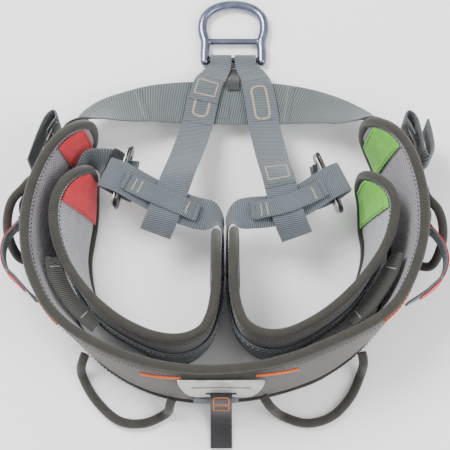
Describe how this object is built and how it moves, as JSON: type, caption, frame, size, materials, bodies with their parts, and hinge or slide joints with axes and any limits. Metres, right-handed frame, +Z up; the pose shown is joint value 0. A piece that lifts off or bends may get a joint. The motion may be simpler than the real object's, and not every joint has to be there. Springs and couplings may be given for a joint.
{
  "type": "tree climbing saddle",
  "caption": "Padded waist belt with two padded leg loops, buckled webbing straps, gear loops and a front bridge that carries a swinging steel attachment ring.",
  "frame": {"origin": "middle of the footprint, on the surface that the saddle stands on", "axes": "+Z up, +Y to the wearer's front, +X to the wearer's right"},
  "size_m": [0.4153, 0.4462, 0.1012],
  "materials": {
    "foam": "closed-cell foam",
    "waist_mesh": "grey spacer mesh with hexagonal openings",
    "leg_mesh": "light grey spacer mesh in herringbone rows",
    "cover_fabric": "brown-grey woven cover, dull",
    "binding_tape": "dark ribbed edge tape, dull",
    "grey_webbing": "dark grey load webbing with fine ribs",
    "dark_webbing": "near-black ribbed webbing",
    "satin_tape": "black tape with a slight sheen",
    "elastic": "black elastic, dull",
    "loop_sleeve": "dark woven sleeve over a stiff core",
    "label_tape": "dark ribbed tape with printed orange frames",
    "red_tape": "red ribbed tape",
    "green_tape": "green ribbed tape",
    "ring_steel": "polished dark steel",
    "dark_alloy": "dark anodised, satin",
    "plate_alloy": "bare, satin"
  },
  "bodies": {
    "harness": {"waist_foam": "foam", "waist_mesh_lining": "waist_mesh", "waist_cover": "cover_fabric", "waist_binding": "binding_tape", "waist_tab_left": "red_tape", "waist_tab_right": "green_tape", "leg_pad_left_foam": "foam", "leg_pad_left_mesh_lining": "leg_mesh", "leg_pad_left_cover": "cover_fabric", "leg_pad_left_binding": "binding_tape", "leg_tab_left": "red_tape", "leg_pad_right_foam": "foam", "leg_pad_right_mesh_lining": "leg_mesh", "leg_pad_right_cover": "cover_fabric", "leg_pad_right_binding": "binding_tape", "leg_tab_right": "green_tape", "belt_webbing": "grey_webbing", "ring_pin": "dark_alloy", "bridge_left": "grey_webbing", "bridge_right": "grey_webbing", "bridge_tie": "satin_tape", "leg_strap_left": "grey_webbing", "leg_keeper_left": "grey_webbing", "leg_adjuster_left": "grey_webbing", "leg_sleeve_left": "elastic", "leg_band_left": "grey_webbing", "leg_strap_right": "grey_webbing", "leg_keeper_right": "grey_webbing", "leg_adjuster_right": "grey_webbing", "leg_sleeve_right": "elastic", "leg_band_right": "grey_webbing", "side_loop_left": "grey_webbing", "side_loop_lining_left": "red_tape", "side_anchor_left": "grey_webbing", "suspender_left": "dark_webbing", "belt_tail_left": "grey_webbing", "side_loop_right": "grey_webbing", "side_loop_lining_right": "red_tape", "side_anchor_right": "grey_webbing", "suspender_right": "dark_webbing", "belt_tail_right": "grey_webbing", "back_webbing": "grey_webbing", "back_plate": "plate_alloy"},
    "attachment_ring": {"ring": "ring_steel"},
    "leg_buckle_left": {"leg_buckle_frame_left": "dark_alloy", "leg_buckle_slider_left": "plate_alloy"},
    "leg_buckle_right": {"leg_buckle_frame_right": "dark_alloy", "leg_buckle_slider_right": "plate_alloy"},
    "belt_buckle_left": {"belt_buckle_left": "dark_alloy"},
    "belt_buckle_right": {"belt_buckle_right": "dark_alloy"},
    "rear_loop_left": {"gear_loop_rear_left": "loop_sleeve"},
    "rear_loop_right": {"gear_loop_rear_right": "loop_sleeve"},
    "side_gear_loop_left": {"gear_loop_side_left": "loop_sleeve"},
    "side_gear_loop_right": {"gear_loop_side_right": "loop_sleeve"},
    "label": {"label": "label_tape"}
  },
  "joints": [
    {"name": "ring_swing", "type": "hinge", "parent": "harness", "child": "attachment_ring", "pos_m": [0, 0.16, 0.006], "axis": [1, 0, 0], "range_deg": [0, 120]},
    {"name": "leg_buckle_tilt_left", "type": "hinge", "parent": "harness", "child": "leg_buckle_left", "pos_m": [-0.0964, 0.026, 0.0585], "axis": [0.26, 0.9656, 0], "range_deg": [-4, 4]},
    {"name": "leg_buckle_tilt_right", "type": "hinge", "parent": "harness", "child": "leg_buckle_right", "pos_m": [0.0965, 0.02, 0.0585], "axis": [-0.38, 0.925, 0], "range_deg": [-4, 4]},
    {"name": "belt_buckle_turn_left", "type": "hinge", "parent": "harness", "child": "belt_buckle_left", "pos_m": [-0.1635, 0.06, 0.046], "axis": [0, 0, 1], "range_deg": [-8, 4]},
    {"name": "belt_buckle_turn_right", "type": "hinge", "parent": "harness", "child": "belt_buckle_right", "pos_m": [0.174, 0.059, 0.046], "axis": [0, 0, 1], "range_deg": [-4, 8]},
    {"name": "rear_loop_lift_left", "type": "hinge", "parent": "harness", "child": "rear_loop_left", "pos_m": [-0.09157, -0.16421, 0.02996], "axis": [-0.8878, 0.4591, -0.0309], "range_deg": [0, 60], "stiffness_Nm_per_rad": 0.06},
    {"name": "rear_loop_lift_right", "type": "hinge", "parent": "harness", "child": "rear_loop_right", "pos_m": [0.08323, -0.16235, 0.03026], "axis": [-0.9132, -0.4073, 0.0114], "range_deg": [0, 60], "stiffness_Nm_per_rad": 0.06},
    {"name": "side_loop_drop_left", "type": "hinge", "parent": "harness", "child": "side_gear_loop_left", "pos_m": [-0.17623, -0.01289, 0.04602], "axis": [-0.0073, -0.9103, -0.414], "range_deg": [-4, 30], "stiffness_Nm_per_rad": 0.06},
    {"name": "side_loop_drop_right", "type": "hinge", "parent": "harness", "child": "side_gear_loop_right", "pos_m": [0.17934, -0.0162, 0.04617], "axis": [0.1129, 0.9004, 0.4201], "range_deg": [-4, 30], "stiffness_Nm_per_rad": 0.06},
    {"name": "label_lift", "type": "hinge", "parent": "harness", "child": "label", "pos_m": [-0.0035, -0.179, 0.056], "axis": [-1, 0, 0], "range_deg": [0, 60]}
  ]
}
